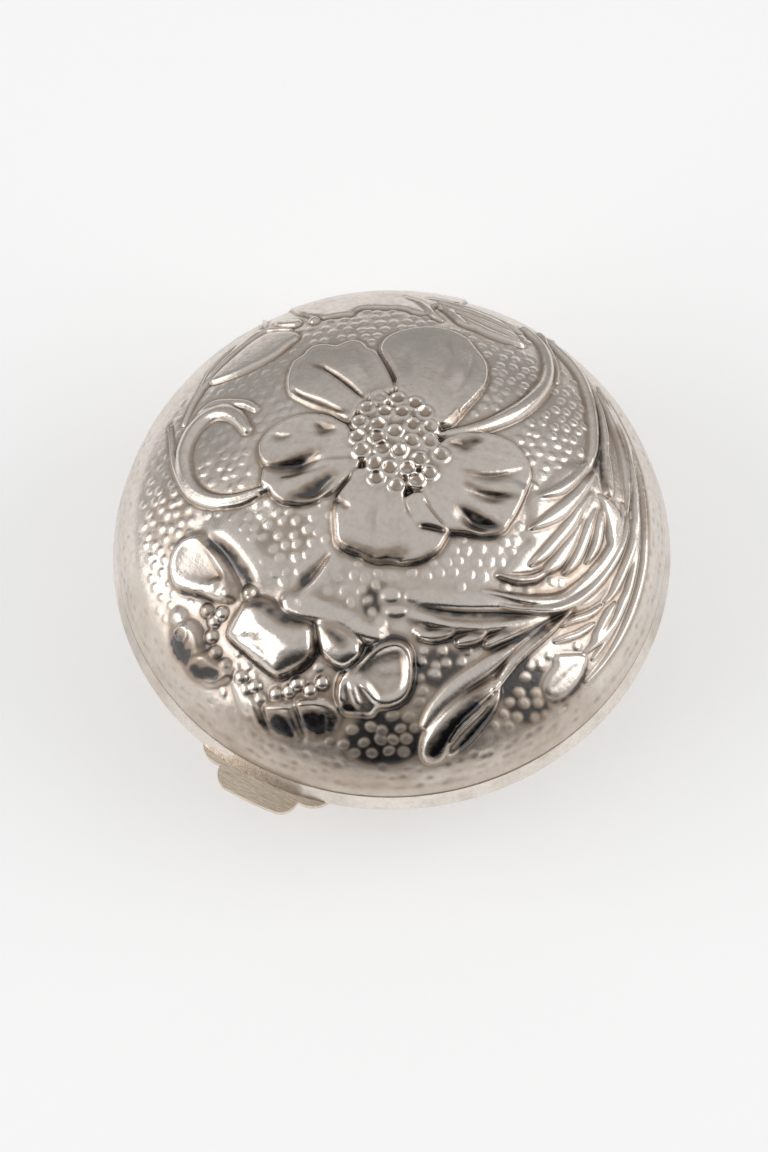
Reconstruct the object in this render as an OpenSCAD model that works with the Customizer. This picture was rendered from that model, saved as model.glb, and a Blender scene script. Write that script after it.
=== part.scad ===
// Small round box for a rosary: a domed lid of thin pressed silver on a rim
// band, hinged at the back to a shallow dished base, with a thumb piece at the
// front. The origin is the centre of the flat underside. +Z is up, the thumb
// piece faces -Y and the hinge is on +Y. The main forms of the lid's chased
// flowers, leaves and stems stand on the dome as low raised areas.

/* [Lid] */
// Diameter of the lid over its lower edge
box_d = 50; // [44:0.5:60]
// Height of the lid's rim band
band_h = 1.6; // [1.2:0.1:2.5]
// How far the rim band leans in from bottom to top
band_lean = 0.5; // [0.2:0.1:0.7]
// Height of the dome above the rim band
dome_h = 13.9; // [11:0.1:16]
// Radius of the rounded shoulder between the band and the crown
shoulder_r = 7; // [4:0.5:10]
// Thickness of the pressed sheet
sheet_t = 0.4; // [0.3:0.05:0.6]

/* [Base] */
// Height of the base from the resting face to the seam
base_h = 9.5; // [8:0.5:12]
// Radius of the flat resting face
foot_r = 10.5; // [8:0.5:12]
// Radius of the arc of the dished wall
bowl_arc_r = 18; // [16:0.5:24]
// Height of the base's rim ring
rim_h = 0.8; // [0.6:0.1:1.2]
// How far the base's rim ring stands back from the lid's edge
rim_step = 0.7; // [0.5:0.05:0.7]
// Height of the collar above the seam
collar_h = 1.8; // [1.2:0.1:2.2]
// Thickness of the collar
collar_t = 0.4; // [0.3:0.05:0.5]
// Radial gap between the collar and the inside of the lid
collar_gap = 0.2; // [0.1:0.05:0.3]

/* [Hinge] */
// Length of the hinge over its outer knuckles
hinge_w = 7; // [6:0.5:12]
// Outer radius of the knuckles
barrel_r = 0.65; // [0.6:0.05:0.9]
// Radius of the hinge pin
pin_r = 0.3; // [0.25:0.05:0.35]
// Radial clearance of the pin in the lid's knuckles
run_gap = 0.04; // [0.02:0.01:0.08]
// Radial clearance of the pin where it is fixed in the base's knuckles
fixed_gap = 0.01; // [0.005:0.005:0.02]
// Gap between neighbouring knuckles
knuckle_gap = 0.1; // [0.06:0.02:0.2]
// Gap between a knuckle and the other half's seat
seat_gap = 0.1; // [0.08:0.02:0.2]
// Gap between the base's rim ring and the knuckles
hinge_stand = 0.12; // [0.06:0.02:0.2]
// Depth of the hinge axis below the seam
hinge_drop = 0.45; // [0.4:0.05:0.5]
// Radius of the pin's riveted heads
head_r = 0.5; // [0.45:0.05:0.6]
// Thickness of the pin's riveted heads
head_t = 0.2; // [0.15:0.05:0.3]
// Height of the lid's bearer above the seam
lid_bearer_h = 1.3; // [1:0.1:1.6]
// Depth of the base's bearer below the seam
base_bearer_h = 2.4; // [1.8:0.1:3]
// Gap between the two bearers
bearer_gap = 0.15; // [0.1:0.05:0.3]

/* [Thumb piece] */
// Width of the thumb piece's middle lobe
thumb_w = 7.7; // [6:0.1:10]
// How far the middle lobe stands out from the lid's edge
thumb_out = 2.1; // [1.5:0.1:3]
// Radius of the middle lobe's corners
thumb_corner_r = 1.6; // [1:0.1:1.8]
// Thickness of the thumb piece
thumb_t = 0.6; // [0.4:0.1:0.8]
// Angle from the middle lobe to the centre of each side lobe
side_lobe_a = 10.5; // [9:0.5:12]
// Radius of each side lobe
side_lobe_r = 2.2; // [1.5:0.1:3]
// How far each side lobe stands out from the lid's edge
side_lobe_out = 0.65; // [0.4:0.05:1]
// Gap between the thumb piece and the base's rim ring
thumb_gap = 0.2; // [0.15:0.05:0.25]

/* [Chased relief] */
// Height of the open flower's petals above the dome
petal_h = 0.5; // [0.3:0.05:0.6]
// Height of the flower's button above the dome
button_h = 0.7; // [0.4:0.05:0.8]
// Radius of the flower's button
button_r = 4.4; // [3.5:0.1:5]
// Height of the side view blossom's calyx and rolled petals above the dome
calyx_h = 1; // [0.6:0.05:1.1]
// Height of the blossom's outer petals, the spoon petal and the bud above the dome
bud_h = 0.65; // [0.4:0.05:0.8]
// Height of the leaves, stems and scroll above the dome
leaf_h = 0.4; // [0.25:0.05:0.5]
// Turn of the whole ornament about the lid's axis
ornament_a = 29.3; // [0:0.1:60]

/* [Hidden] */

$fn = 160;
silver = "#b6aea4";
warm_silver = "#c4b79c";
// Overlap of a cutting solid past the face that it cuts
past = 1;

// Lid: radii and heights of its profile
lid_r = box_d / 2;
seam_z = base_h;
band_top_z = seam_z + band_h;
band_top_r = lid_r - band_lean;
band_in_r = band_top_r - sheet_t;
shoulder_x = band_top_r - shoulder_r;
// The crown is the arc that meets the shoulder's arc without a kink
crown_r = (shoulder_x * shoulder_x + dome_h * dome_h - shoulder_r * shoulder_r)
          / (2 * (dome_h - shoulder_r));
crown_z = band_top_z + dome_h - crown_r;
crown_a = atan2(shoulder_x, band_top_z - crown_z);

// Base: rim ring, collar, and the centre of the dished wall's arc
rim_z = seam_z - rim_h;
base_rim_r = lid_r - rim_step;
collar_out_r = band_in_r - collar_gap;
collar_in_r = collar_out_r - collar_t;
chord_x = base_rim_r - foot_r;
chord = sqrt(chord_x * chord_x + rim_z * rim_z);
chord_to_centre = sqrt(bowl_arc_r * bowl_arc_r - chord * chord / 4);
bowl_x = (base_rim_r + foot_r) / 2 - chord_to_centre * rim_z / chord;
bowl_z = rim_z / 2 + chord_to_centre * chord_x / chord;

// Hinge: axis and knuckles, counted from the left, the base's at both ends
hinge_y = base_rim_r + hinge_stand + barrel_r;
hinge_z = seam_z - hinge_drop;
knuckles = 5;
knuckle_w = (hinge_w - (knuckles - 1) * knuckle_gap) / knuckles;
function knuckle_x(i) = -hinge_w / 2 + i * (knuckle_w + knuckle_gap);
function on_base(i) = i % 2 == 0;

// Thumb piece: where its lobes' arcs are centred
thumb_in_r = base_rim_r + thumb_gap;
thumb_out_r = lid_r + thumb_out;
thumb_corner_x = thumb_w / 2 - thumb_corner_r;
thumb_corner_y = sqrt(pow(thumb_out_r - thumb_corner_r, 2) - pow(thumb_corner_x, 2));
side_lobe_at = lid_r + side_lobe_out - side_lobe_r;

// Ornament: outlines on the unrolled dome of a lid of this radius, from its apex
drawn_r = 25;
crown_s = crown_r * crown_a * PI / 180;
button_at = [0.7, 3.4];
flower = [[0.8, 9], [-0.3, 13.8], [0.3, 16.2], [3, 17.7], [6, 17.6], [8.5, 15], [9.4, 12],
          [8.3, 8.8], [5.3, 5], [8.9, 4.5], [12.1, 2.8], [12.7, 0.5], [11.3, -2.8],
          [9, -5.4], [4.9, -5.3], [4, -7], [1, -8.1], [-3, -7.1], [-4.8, -5.8], [-4.9, -1.5],
          [-7.3, -2], [-10.3, -0.9], [-11.4, 0.6], [-11.6, 3.8], [-10.8, 5.8], [-8.2, 7.1],
          [-5.3, 6.7], [-3.2, 5.9], [-6.5, 7.9], [-8.8, 10], [-8.9, 13], [-7.2, 15.6],
          [-2, 15.7]];
calyx = [[-12.9, -10.1], [-10.5, -11.2], [-8.4, -12.8], [-7, -13.2], [-7.2, -15.2],
         [-10.4, -17.2], [-12.3, -15.9], [-15.3, -13.2], [-14.6, -11.5]];
calyx_lobe = [[-6.7, -12.9], [-4.3, -13.8], [-2.4, -15.1], [-4.6, -16.9], [-6.4, -16]];
sepal = [[-9, -10.2], [-3.5, -12.3], [-0.9, -14.1], [-4.3, -13.5], [-7.3, -12.5]];
cup_petal = [[-4.6, -17.3], [-2.2, -15.6], [-0.3, -14.4], [1.3, -15.3], [1.8, -17.8],
             [1, -19.7], [-1.6, -20.6], [-5.2, -20.9], [-6.2, -19.5]];
spoon_petal = [[-19.9, -7.5], [-20.3, -5], [-18.8, -3.1], [-16.5, -3.5], [-14.5, -5.8],
               [-12.8, -9.6], [-16.8, -9.2]];
side_petal = [[-21.4, -10.5], [-19.8, -9], [-18.2, -10.2], [-17.6, -12.5], [-18.6, -14.3],
              [-20.1, -14.9], [-21.2, -12.8]];
lower_petals = [[-15.3, -17], [-13.5, -19], [-8.6, -19.3], [-5.4, -21.2], [-6, -22.8],
                [-10, -23], [-13.4, -21.5]];
bud = [[9.5, -18.5], [5, -20.9], [2.5, -23], [2.6, -25.2], [4.8, -25.1], [6.8, -23.7],
       [8.8, -21.2]];
blossom_stem = [[-16, -3.8], [-13, -4.3], [-10, -7], [-8.2, -9.2], [-9.5, -10.1],
                [-12, -7.8], [-14, -6]];
flower_stem = [[-4.9, -6], [-7.6, -9.7], [-8.8, -9.4], [-6, -6.2]];
bud_stem = [[14.6, -12.6], [10, -15.2], [3, -21.2], [5, -20.7], [9.2, -17.9], [13.8, -14.4]];
small_leaf = [[16.3, -14.9], [18.2, -16.1], [17.2, -18], [15.2, -19.8], [13.8, -18.9]];
feather_leaf = [[20, 2], [18.2, 3.2], [14.5, 0.2], [12.9, -1.6], [12.4, -5.6], [9.6, -8.9],
                [12.2, -8.5], [16.2, -6.6], [20.2, -3]];
lower_leaf = [[0, -10.2], [7, -10.8], [16, -10.6], [20, -6.4], [22.4, -0.5], [22.8, -4],
              [21, -9], [16.2, -12], [11.5, -14.1], [8.2, -15.4], [2.9, -14.9], [0.8, -12.6]];
centre_stem = [[5.4, 4.8], [8.5, 5.9], [12, 9], [13.9, 12.5], [14.8, 17], [13.6, 20.5],
               [15.6, 19], [16.4, 15], [15.6, 11], [13, 7.6], [9.4, 4.8]];
side_stem = [[17.7, 1.6], [18.9, 6], [19, 11], [18, 15.5], [15.5, 20.3], [17.6, 18.6],
             [19.7, 14], [20.3, 8], [19.2, 2.8]];
outer_stems = [[20.9, 13.5], [22.8, 8], [23.3, 2], [23.2, -4], [22, -9], [18.5, -16],
               [20.6, -16], [23.8, -10], [25.2, -3], [25, 3], [23.6, 8], [21.8, 13]];
scroll = [[-12, 7], [-14, 9.8], [-17, 10.7], [-19.6, 8], [-20.2, 4.5], [-18, 0.6],
          [-14.5, -1.1], [-11.4, -0.4], [-11.6, 0.4], [-14, 0.3], [-17, 1.7], [-18.4, 4.5],
          [-17.8, 7.5], [-15.8, 8.9], [-13.7, 7.6], [-13, 6.4]];
left_leaf = [[-17.4, 14.4], [-14.2, 18.9], [-11.5, 20.4], [-8.3, 19], [-9, 16.6], [-12, 14.8]];
top_leaf = [[-6, 21.1], [-2.8, 20.9], [1.5, 21.6], [4.5, 20.7], [5.6, 19.4], [8, 18.9],
            [13.5, 17], [12.8, 19.2], [8, 22.8], [2, 24.5], [-4, 24]];

// A point on the unrolled dome, seen from above
function over_dome(s) = s < crown_s ? crown_r * sin(crown_a * s / crown_s)
    : shoulder_x + shoulder_r * sin(crown_a + (s - crown_s) / shoulder_r * 180 / PI);
function seen(p) = let (s = norm(p)) p * over_dome(s * lid_r / drawn_r) / s;

// Radius of the rim band's outer face at a height above the seam
function band_r(h) = lid_r - band_lean * h / band_h;

// Half section of the dome's outer form, drawn in by inset, above floor_z
module dome_profile(inset, floor_z) {
    far = 2 * crown_r;
    intersection() {
        union() {
            intersection() {
                translate([0, crown_z]) circle(r = crown_r - inset);
                polygon([[0, crown_z],
                         [far * sin(crown_a), crown_z + far * cos(crown_a)],
                         [0, crown_z + far]]);
            }
            translate([shoulder_x, band_top_z]) circle(r = shoulder_r - inset);
        }
        translate([0, floor_z]) square([lid_r, far]);
    }
}

// Half section of the base's dished form, drawn in by inset, up to top_z
module bowl_profile(inset, top_z) {
    arc_r = bowl_arc_r - inset;
    foot = bowl_x + sqrt(arc_r * arc_r - pow(bowl_z - inset, 2));
    intersection() {
        union() {
            translate([bowl_x, bowl_z]) circle(r = arc_r);
            square([foot, top_z]);
        }
        translate([0, inset]) square([lid_r, top_z - inset]);
    }
}

// A ring between two radii, from z up by h
module ring(in_r, out_r, z, h) {
    rotate_extrude() translate([in_r, z]) square([out_r - in_r, h]);
}

// A cylinder on the hinge axis, from x along by w
module on_axis(x, w, r) {
    translate([x, hinge_y, hinge_z]) rotate([0, 90, 0]) cylinder(h = w, r = r, $fn = 48);
}

// The room for the knuckles in one half: its own knuckles sit in it face to
// face, and the other half's turn in it with a gap
module knuckle_seats(of_base) {
    for (i = [0 : knuckles - 1]) {
        if (on_base(i) == of_base)
            on_axis(knuckle_x(i) - knuckle_gap / 2, knuckle_w + knuckle_gap, barrel_r);
        else
            on_axis(knuckle_x(i) - knuckle_gap, knuckle_w + 2 * knuckle_gap,
                    barrel_r + seat_gap);
    }
}

// A bearer's blank: an outline in Y and Z, drawn along the hinge
module bearer_blank(outline) {
    translate([-hinge_w / 2, 0, 0]) rotate([90, 0, 90])
        linear_extrude(hinge_w) polygon(outline);
}

module knuckle(i) {
    bore_r = pin_r + (on_base(i) ? fixed_gap : run_gap);
    difference() {
        on_axis(knuckle_x(i), knuckle_w, barrel_r);
        on_axis(knuckle_x(i) - past, knuckle_w + 2 * past, bore_r);
    }
}

// Raised areas: they stand tall above the dome inside the outlines, and start
// half way through the sheet
module raised(tall, outlines) {
    intersection() {
        rotate_extrude() difference() {
            dome_profile(-tall, band_top_z);
            dome_profile(sheet_t / 2, band_top_z - past);
        }
        rotate([0, 0, ornament_a]) translate([0, 0, band_top_z])
            linear_extrude(dome_h + 2 * tall) {
                for (outline = outlines) polygon([for (p = outline) seen(p)]);
            }
    }
}

module button() {
    intersection() {
        rotate_extrude() difference() {
            dome_profile(-button_h, band_top_z);
            dome_profile(sheet_t / 2, band_top_z - past);
        }
        rotate([0, 0, ornament_a]) translate([0, 0, band_top_z]) translate(seen(button_at))
            cylinder(h = dome_h + 2 * button_h, r = button_r);
    }
}

module lid_shell() {
    color(silver) {
        rotate_extrude() difference() {
            dome_profile(0, band_top_z);
            dome_profile(sheet_t, band_top_z - past);
        }
        raised(petal_h, [flower]);
        button();
        raised(calyx_h, [calyx, calyx_lobe]);
        raised(bud_h, [cup_petal, spoon_petal, side_petal, lower_petals, bud]);
        raised(leaf_h, [sepal, blossom_stem, flower_stem, bud_stem, small_leaf, feather_leaf,
                        lower_leaf, centre_stem, side_stem, outer_stems, scroll, left_leaf,
                        top_leaf]);
    }
}

module lid_band() {
    color(silver) difference() {
        rotate_extrude() polygon([[band_in_r, seam_z], [lid_r, seam_z],
                                  [band_top_r, band_top_z], [band_in_r, band_top_z]]);
        knuckle_seats(false);
    }
}

module thumb_outline() {
    difference() {
        union() {
            intersection() {
                circle(r = thumb_out_r);
                translate([-thumb_corner_x, -thumb_out_r])
                    square([2 * thumb_corner_x, thumb_out_r]);
            }
            translate([-thumb_w / 2, -thumb_corner_y]) square([thumb_w, thumb_corner_y]);
            for (side = [-1, 1]) {
                translate([side * thumb_corner_x, -thumb_corner_y])
                    circle(r = thumb_corner_r);
                rotate([0, 0, side * side_lobe_a]) translate([0, -side_lobe_at])
                    circle(r = side_lobe_r);
            }
        }
        circle(r = thumb_in_r);
    }
}

module thumb_piece() {
    color(warm_silver) translate([0, 0, seam_z - thumb_t])
        linear_extrude(thumb_t) intersection() {
            thumb_outline();
            translate([-lid_r, -2 * lid_r]) square([box_d, 2 * lid_r]);
        }
}

module lid_hinge_bearer() {
    top = lid_bearer_h;
    color(silver) difference() {
        bearer_blank([[collar_in_r, seam_z], [hinge_y, seam_z],
                      [hinge_y, seam_z + top / 2], [band_top_r - sheet_t / 2, seam_z + top],
                      [collar_in_r, seam_z + top]]);
        rotate_extrude($fn = 480) polygon([[0, seam_z - past], [band_r(-past), seam_z - past],
                                  [band_top_r, band_top_z], [0, band_top_z]]);
        knuckle_seats(false);
    }
}

module base_shell() {
    color(silver) rotate_extrude() difference() {
        bowl_profile(0, rim_z);
        bowl_profile(sheet_t, rim_z + past);
    }
}

module base_rim() {
    color(silver) ring(collar_out_r, base_rim_r, rim_z, rim_h);
}

module base_collar() {
    color(silver) ring(collar_in_r, collar_out_r, rim_z, rim_h + collar_h);
}

module base_hinge_bearer() {
    low_z = seam_z - base_bearer_h;
    edge_z = hinge_z - barrel_r - bearer_gap;
    color(silver) difference() {
        bearer_blank([[foot_r, low_z], [collar_in_r, low_z], [hinge_y, edge_z],
                      [hinge_y, seam_z - bearer_gap], [foot_r, seam_z - bearer_gap]]);
        rotate_extrude($fn = 480) {
            bowl_profile(0, rim_z);
            translate([0, rim_z]) square([base_rim_r, rim_h + past]);
        }
        knuckle_seats(true);
    }
}

module hinge_pin() {
    color(silver) {
        on_axis(-hinge_w / 2, hinge_w, pin_r);
        on_axis(-hinge_w / 2 - head_t, head_t, head_r);
        on_axis(hinge_w / 2, head_t, head_r);
    }
}

lid_shell();
lid_band();
thumb_piece();
lid_hinge_bearer();
color(silver) knuckle(1);  // lid_knuckle_left
color(silver) knuckle(3);  // lid_knuckle_right
base_shell();
base_rim();
base_collar();
base_hinge_bearer();
color(silver) knuckle(0);  // base_knuckle_left
color(silver) knuckle(2);  // base_knuckle_centre
color(silver) knuckle(4);  // base_knuckle_right
hinge_pin();
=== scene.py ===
"""Looks of the repousse silver rosary box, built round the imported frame.

Lengths in the relief tables are millimetres on the lid's own skin: the dome is
unrolled from its apex, x to the viewer's right and y away from the viewer.
"""
import math

import bpy
import numpy as np
from mathutils import Matrix, Vector


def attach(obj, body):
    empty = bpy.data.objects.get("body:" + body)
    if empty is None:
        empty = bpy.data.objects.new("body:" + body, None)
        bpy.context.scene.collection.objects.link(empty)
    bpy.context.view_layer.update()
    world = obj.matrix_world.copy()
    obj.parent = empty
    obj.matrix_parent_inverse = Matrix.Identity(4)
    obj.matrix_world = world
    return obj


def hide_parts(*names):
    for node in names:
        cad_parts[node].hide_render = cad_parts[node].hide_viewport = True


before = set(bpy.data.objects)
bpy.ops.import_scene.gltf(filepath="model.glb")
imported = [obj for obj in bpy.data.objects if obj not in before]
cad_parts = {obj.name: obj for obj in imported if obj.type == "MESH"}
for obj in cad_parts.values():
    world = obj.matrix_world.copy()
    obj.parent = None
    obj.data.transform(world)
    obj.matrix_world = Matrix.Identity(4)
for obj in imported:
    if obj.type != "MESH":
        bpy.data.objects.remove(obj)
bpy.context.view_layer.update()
rng = np.random.default_rng(7)

MM = 0.001
VIEW_TURN = math.radians(29.3)        # the photograph looks at the box from this side of its front
VIEW_TILT = math.radians(65.39)       # and from this high above the horizon
VIEW_ROLL = math.radians(1.96)
VIEW_DISTANCE = 450 * MM
SEAM_Z = 9.5 * MM

# ======== camera and light

right = Vector((math.cos(VIEW_TURN), math.sin(VIEW_TURN), 0))
away = Vector((-math.sin(VIEW_TURN), math.cos(VIEW_TURN), 0))
back = -away * math.cos(VIEW_TILT) + Vector((0, 0, math.sin(VIEW_TILT)))
up = back.cross(right)
cam_x = right * math.cos(VIEW_ROLL) - up * math.sin(VIEW_ROLL)
cam_y = right * math.sin(VIEW_ROLL) + up * math.cos(VIEW_ROLL)
OFF_X, OFF_Y = -0.673 * MM, -2.242 * MM   # where the optical axis passes the seam's centre

camera_data = bpy.data.cameras.new("camera")
camera_data.lens = 156.8
camera_data.sensor_width = 36
camera_data.clip_start = 0.01
camera = bpy.data.objects.new("camera", camera_data)
bpy.context.scene.collection.objects.link(camera)
aim = Vector((0, 0, SEAM_Z)) + cam_x * OFF_X + cam_y * OFF_Y
camera.matrix_world = Matrix.Translation(aim + back * VIEW_DISTANCE) @ Matrix(
    (cam_x, cam_y, back)).transposed().to_4x4()
bpy.context.scene.camera = camera
bpy.context.scene.view_settings.view_transform = "Standard"

LIT_POINT = Vector((0, 0, 20 * MM))       # the lamps are aimed at this point under the crown
LAMP_DISTANCE = 0.9


def softbox(name, toward, size, power):
    """A rectangular lamp that looks at the box from a direction given as right, away and up."""
    direction = (right * toward[0] + away * toward[1] + Vector((0, 0, toward[2]))).normalized()
    lamp = bpy.data.lights.new(name, "AREA")
    lamp.shape = "RECTANGLE"
    lamp.size, lamp.size_y = size
    lamp.energy = power
    obj = bpy.data.objects.new(name, lamp)
    bpy.context.scene.collection.objects.link(obj)
    obj.location = LIT_POINT + direction * LAMP_DISTANCE
    obj.rotation_mode = "QUATERNION"
    obj.rotation_quaternion = direction.to_track_quat("Z", "Y")


softbox("softbox_left", (-0.91, -0.10, 0.42), (0.90, 0.72), 3.4)
softbox("softbox_right", (0.91, -0.03, 0.44), (0.84, 0.70), 3.2)


def node(tree, kind, **settings):
    """Adds a node and sets its properties."""
    made = tree.nodes.new(kind)
    for name, value in settings.items():
        setattr(made, name, value)
    return made


def feed(value, socket):
    """Gives a socket its value: another node's output, a number or a colour."""
    if isinstance(value, bpy.types.NodeSocket):
        socket.id_data.links.new(value, socket)
    else:
        socket.default_value = value


def plus(a, b, operation="ADD", **settings):
    made = node(a.id_data, "ShaderNodeMath", operation=operation, **settings)
    feed(a, made.inputs[0])
    feed(b, made.inputs[1])
    return made.outputs[0]


def times(a, b):
    return plus(a, b, "MULTIPLY")


def ranged(value, low, high, to_low, to_high, **settings):
    """The value with its range from low to high mapped to that from to_low to to_high."""
    made = node(value.id_data, "ShaderNodeMapRange", **settings)
    for socket, part in zip(made.inputs, (value, low, high, to_low, to_high)):
        feed(part, socket)
    return made.outputs[0]


def mixed_colour(tree, share, first, second, **settings):
    """Two colours mixed; share is the second one's."""
    made = node(tree, "ShaderNodeMix", data_type="RGBA", **settings)
    feed(share, made.inputs[0])
    feed(first, made.inputs[6])
    feed(second, made.inputs[7])
    return made.outputs[2]


def grey_ramp(value, first, last, *between):
    """Greys that follow the value; each stop is a pair of place and grey."""
    made = node(value.id_data, "ShaderNodeValToRGB")
    elements = made.color_ramp.elements
    for element, (place, grey) in zip(elements, (first, last)):
        element.position, element.color = place, (grey, grey, grey, 1)
    for place, grey in between:
        elements.new(place).color = (grey, grey, grey, 1)
    feed(value, made.inputs[0])
    return made.outputs[0]


# the room is pale from its middle height up and dark behind the viewer
world = bpy.data.worlds.new("room")
bpy.context.scene.world = world
world.use_nodes = True
tree = world.node_tree
tree.nodes.clear()
direction = node(tree, "ShaderNodeTexCoord").outputs["Generated"]
split = node(tree, "ShaderNodeSeparateXYZ")
feed(direction, split.inputs[0])
by_height = grey_ramp(split.outputs[2], (0, 0.26), (1, 0.60), (0.60, 0.60))
toward_viewer = node(tree, "ShaderNodeVectorMath", operation="DOT_PRODUCT")
feed(direction, toward_viewer.inputs[0])
feed(-away, toward_viewer.inputs[1])
behind = grey_ramp(toward_viewer.outputs["Value"], (0.10, 1), (0.82, 0.09), (0.60, 0.95), (0.70, 0.55))
background = node(tree, "ShaderNodeBackground")
feed(mixed_colour(tree, 1, by_height, behind, blend_type="MULTIPLY"), background.inputs[0])
feed(background.outputs[0], node(tree, "ShaderNodeOutputWorld").inputs[0])

# ======== the lid's skin

CROWN_R = 32.642          # radius of the crown's arc
CROWN_Z = -7.642          # its centre, above the base's flat underside
SHOULDER_R = 7.0          # radius of the shoulder's arc
SHOULDER_C = 17.5         # its centre, from the axis
SHOULDER_Z = 11.1         # and its height
SHEET = 0.4               # thickness of the pressed sheet
CROWN_ANGLE = math.atan2(SHOULDER_C, SHOULDER_Z - CROWN_Z)
CROWN_S = CROWN_R * CROWN_ANGLE       # along the skin from the apex to the crown's end
EDGE_S = CROWN_S + SHOULDER_R * (math.pi / 2 - CROWN_ANGLE)   # and to the lid's edge
PLAIN_S = 25.6            # the stipple ends here, before the plain rim

STEP = 0.08               # spacing of the relief's samples
HALF = 31.0               # the samples reach this far from the apex
GROUND = -0.12            # the stippled ground lies this much below the plain dome
axis = np.arange(-HALF, HALF + STEP / 2, STEP)
U, V = np.meshgrid(axis, axis)
relief = np.zeros_like(U)             # height over the plain dome
bare = np.ones_like(U)                # distance to the nearest ornament, 1 at most
patina_and_painted_shade = np.zeros_like(U)             # black patina and painted shade, besides the patina of the hollows


def window(line, pad):
    """Rows and columns of the samples round a line of points."""
    low = np.floor((line.min(0) - pad + HALF) / STEP).astype(int)
    high = np.ceil((line.max(0) + pad + HALF) / STEP).astype(int) + 1
    low = np.clip(low, 0, len(axis))
    high = np.clip(high, 0, len(axis))
    return slice(low[1], high[1]), slice(low[0], high[0])


def curve(points, closed=False, steps=6):
    """A smooth line through given points (Catmull-Rom)."""
    p = np.array(points, float)
    if closed:
        p = np.vstack([p[-1], p, p[:2]])
    else:
        p = np.vstack([2 * p[0] - p[1], p, 2 * p[-1] - p[-2]])
    t = np.linspace(0, 1, steps, endpoint=False)[:, None]
    parts = []
    for a, b, c, d in zip(p[:-3], p[1:-2], p[2:-1], p[3:]):
        parts.append(0.5 * (2 * b + (c - a) * t + (2 * a - 5 * b + 4 * c - d) * t ** 2
                            + (3 * b - a - 3 * c + d) * t ** 3))
    parts.append(p[-2][None])
    return np.vstack(parts)


def near(line, reach):
    """Distance of the samples to a line, up to reach, how far along it the nearest point lies
    (0 to 1), whether they lie to its right, and the window that holds them."""
    rows, cols = window(line, reach)
    u, v = U[rows, cols], V[rows, cols]
    distance = np.full(u.shape, float(reach))
    along = np.zeros(u.shape)
    right_side = np.zeros(u.shape, bool)
    lengths = np.hypot(*np.diff(line, axis=0).T)
    ends = np.concatenate([[0], np.cumsum(lengths)])
    total = max(ends[-1], 1e-6)
    for a, b, size, start in zip(line[:-1], line[1:], lengths, ends):
        if size < 1e-6:
            continue
        r, c = window(np.array([a, b]), reach)
        r = slice(r.start - rows.start, r.stop - rows.start)
        c = slice(c.start - cols.start, c.stop - cols.start)
        du, dv = u[r, c] - a[0], v[r, c] - a[1]
        e = (b - a) / size
        t = np.clip(du * e[0] + dv * e[1], 0, size)
        d = np.hypot(du - t * e[0], dv - t * e[1])
        closer = d < distance[r, c]
        distance[r, c][closer] = d[closer]
        along[r, c][closer] = (start + t[closer]) / total
        right_side[r, c][closer] = (du * e[1] - dv * e[0])[closer] > 0
    return distance, along, right_side, (rows, cols)


def inside(line, place):
    """Whether each sample in the window lies within a closed line."""
    u, v = U[place], V[place]
    odd = np.zeros(u.shape, bool)
    for a, b in zip(line[:-1], line[1:]):
        if a[1] == b[1]:
            continue
        crosses = (a[1] > v) != (b[1] > v)
        odd ^= crosses & (u < a[0] + (v - a[1]) * (b[0] - a[0]) / (b[1] - a[1]))
    return odd


def ease(x, low, high):
    """0 up to low, 1 from high on, and a smooth step between."""
    t = np.clip((x - low) / (high - low), 0, 1)
    return t * t * (3 - 2 * t)


def cover(place, distance):
    """Notes how near an ornament is to the samples in the window."""
    bare[place] = np.minimum(bare[place], distance)


def leaf(points, level=0.2, rise=0.2, edge=0.6, dish=0.0, tilt=(0, 0), chase=0.08, hard=0.12):
    """A raised form with a closed outline: it stands at level (a number or a field), swells by rise
    within edge of its outline, may be dished or tilted, and a chased line runs round it."""
    line = curve(points, closed=True)
    reach = max(edge, 0.6) + 0.3
    distance, _, _, place = near(line, reach)
    within = inside(line, place)
    signed = np.where(within, distance, -distance)
    t = np.clip(signed / edge, 0, 1)
    if isinstance(level, np.ndarray):
        level = level[place]
    centre = line.mean(0)
    slope = (U[place] - centre[0]) * tilt[0] + (V[place] - centre[1]) * tilt[1]
    new = level + rise * np.sqrt(1 - (1 - t) ** 2) - dish * ease(signed, edge * 0.6, reach) + slope
    share = ease(signed, -hard, hard)
    relief[place] = relief[place] * (1 - share) + new * share
    relief[place] -= chase * np.exp(-((signed + 0.14) / 0.13) ** 2)
    cover(place, -signed)


def spread(values, along):
    """Values given at even steps along a line, read at each sample."""
    values = np.atleast_1d(np.array(values, float))
    return np.interp(along, np.linspace(0, 1, len(values)), values)


def ridge(points, width=(0.2, 0.5, 0.5, 0.2), height=0.3, base=0.0, chase=0.05):
    """A raised strand: a rounded section of half width given along it."""
    line = curve(points)
    width = np.atleast_1d(width)
    reach = float(width.max()) + 0.5
    distance, along, _, place = near(line, reach)
    half = spread(width, along)
    t = np.clip(distance / half, 0, 1)
    tall = height * np.sqrt(np.clip(half / width.max(), 0, 1))
    new = base + tall * (1 - t ** 2) ** 0.75
    relief[place] = np.where(t < 1, np.maximum(relief[place], new), relief[place])
    relief[place] -= chase * np.exp(-((distance - half - 0.12) / 0.12) ** 2)
    cover(place, distance - half)


def groove(points, width=(0.1, 0.25, 0.25, 0.1), depth=0.15):
    """A chased line that dies out at both ends."""
    line = curve(points)
    width = np.atleast_1d(width)
    reach = float(width.max()) * 3
    distance, along, _, place = near(line, reach)
    half = spread(width, along)
    fade = ease(along, -0.02, 0.12) * ease(1.02 - along, 0, 0.14)
    relief[place] -= depth * fade * np.exp(-(distance / half) ** 2)


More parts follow.
